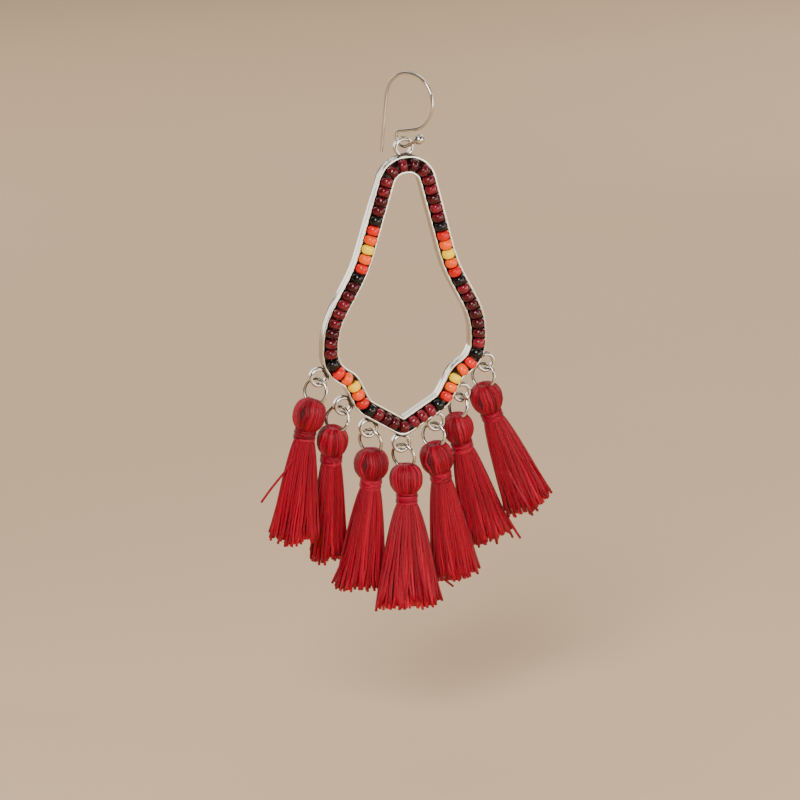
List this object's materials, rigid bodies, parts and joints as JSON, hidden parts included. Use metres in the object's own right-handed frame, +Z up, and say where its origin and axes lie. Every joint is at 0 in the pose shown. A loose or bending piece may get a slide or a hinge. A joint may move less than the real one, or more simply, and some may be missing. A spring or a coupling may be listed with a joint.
{
  "type": "tassel earring",
  "caption": "Drop earring: an ear wire carries an open teardrop frame edged with glass beads, with thread tassels hanging from jump rings along its lower edge.",
  "frame": {"origin": "middle of the wire at the very top of the ear wire, where the earring hangs in the ear", "axes": "+Z up; the beaded face looks along -Y, and +X is to the right of a viewer who faces it"},
  "size_m": [0.0574, 0.0169, 0.1058],
  "materials": {
    "silver_polished": "polished silver plate",
    "silver_antiqued": "antiqued silver plate, dark in the channel",
    "thread_dark": "waxed thread",
    "glass_garnet": "glossy, nearly opaque",
    "glass_black": "glossy, opaque",
    "glass_red": "glossy, opaque",
    "glass_orange": "glossy, opaque",
    "glass_yellow": "glossy, opaque",
    "thread_red": "silky mercerised thread",
    "thread_binding": "silky mercerised thread"
  },
  "bodies": {
    "hook": {"ear_hook": "silver_polished"},
    "drop": {"frame": "silver_antiqued", "bead_thread": "thread_dark", "beads_garnet": "glass_garnet", "beads_black": "glass_black", "beads_red": "glass_red", "beads_orange": "glass_orange", "beads_yellow": "glass_yellow", "jump_ring_1": "silver_polished", "jump_ring_2": "silver_polished", "jump_ring_3": "silver_polished", "jump_ring_4": "silver_polished", "jump_ring_5": "silver_polished", "jump_ring_6": "silver_polished", "jump_ring_7": "silver_polished", "tassel_1": "thread_red", "tassel_2": "thread_red", "tassel_3": "thread_red", "tassel_4": "thread_red", "tassel_5": "thread_red", "tassel_6": "thread_red", "tassel_7": "thread_red", "binding_1": "thread_binding", "binding_2": "thread_binding", "binding_3": "thread_binding", "binding_4": "thread_binding", "binding_5": "thread_binding", "binding_6": "thread_binding", "binding_7": "thread_binding"}
  },
  "joints": [
    {"name": "drop_swing", "type": "hinge", "parent": "hook", "child": "drop", "pos_m": [-0.00072, 0.00116, -0.0142], "axis": [0.5299, -0.848, 0], "range_deg": [-15, 25]}
  ]
}
